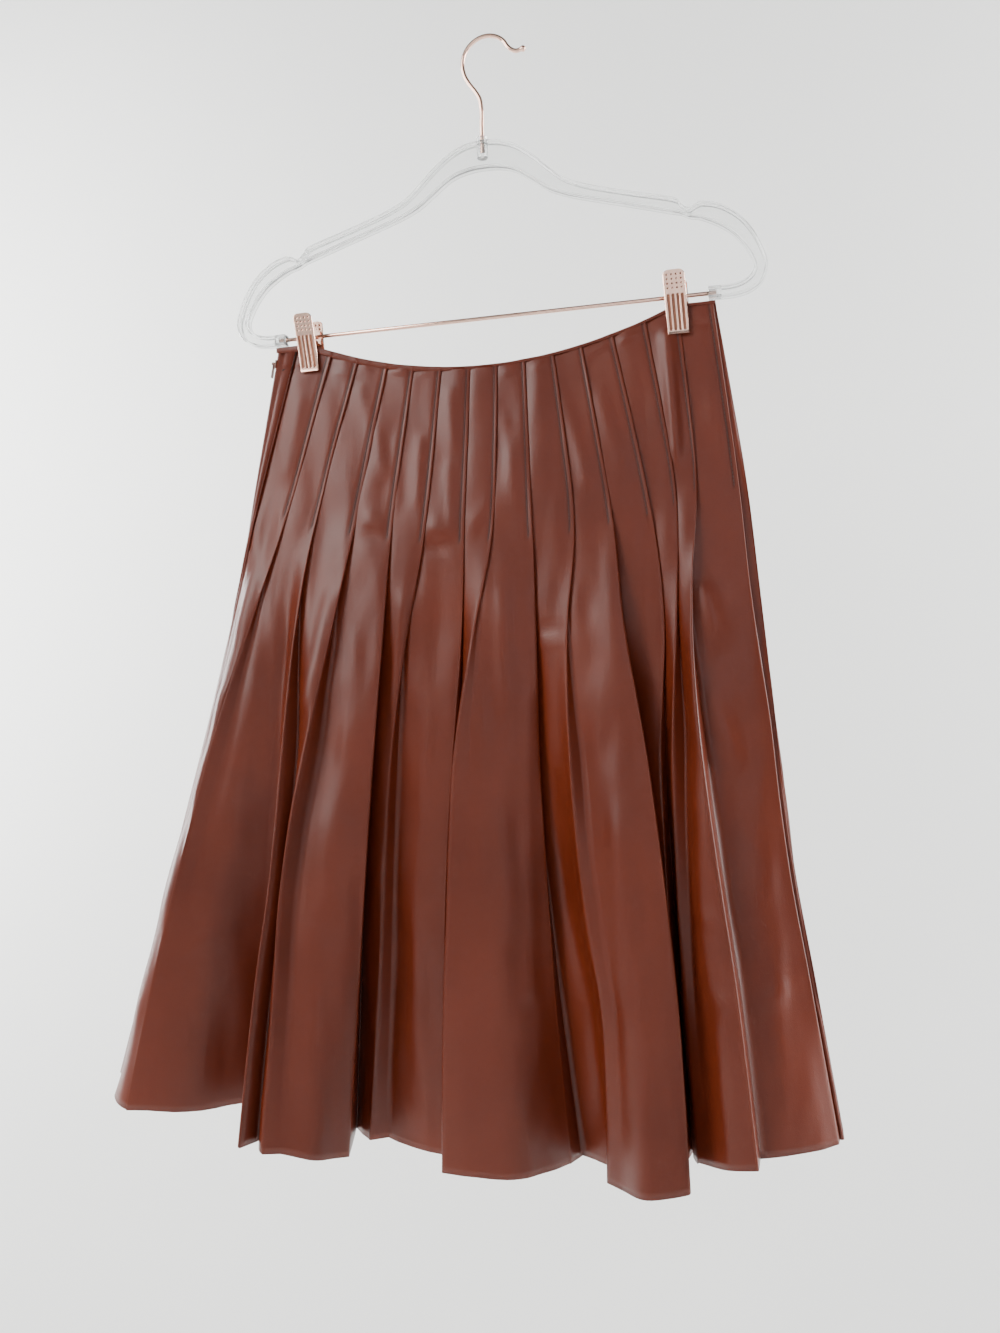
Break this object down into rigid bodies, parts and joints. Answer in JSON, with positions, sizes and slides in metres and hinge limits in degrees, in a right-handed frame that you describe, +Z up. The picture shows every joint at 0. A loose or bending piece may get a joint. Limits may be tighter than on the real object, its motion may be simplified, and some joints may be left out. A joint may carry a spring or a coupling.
{
  "type": "pleated faux leather midi skirt on a clip hanger",
  "caption": "Knife-pleated faux leather midi skirt, its pleats sewn flat below the waist and free to the hem, held by its waist edge in the clips of a clear hanger.",
  "frame": {"origin": "the seat inside the hanger's hook, where whatever carries it touches the underside of the wire, in the hanger's middle plane", "axes": "+Z up, along the hanging skirt from hem to hook; -Y out of the skirt's front; +X to the right of someone who looks at the front"},
  "size_m": [0.618, 0.1896, 0.9211],
  "materials": {
    "leather": "tan-brown coated faux leather with a fine grain and a soft sheen",
    "zip_paint": "brown paint to match the cloth, semi-gloss",
    "rose_gold": "polished rose gold plating",
    "clear": "clear moulded plastic, polished"
  },
  "bodies": {
    "skirt": {"skirt_front": "leather", "skirt_back": "leather", "waist_edge_front": "leather", "waist_edge_back": "leather", "zip_slider": "zip_paint", "hanger_body": "clear", "hanger_hook": "rose_gold", "hanger_bar": "rose_gold", "clip_left_front": "rose_gold", "clip_left_back": "rose_gold", "clip_left_spring": "rose_gold", "clip_right_front": "rose_gold", "clip_right_back": "rose_gold", "clip_right_spring": "rose_gold"},
    "zip_pull": {"zip_pull": "zip_paint"}
  },
  "joints": [
    {"name": "zip_pull_hinge", "type": "hinge", "parent": "skirt", "child": "zip_pull", "pos_m": [-0.19204, 0, -0.24865], "axis": [0, 1, 0], "range_deg": [0, 160]}
  ]
}
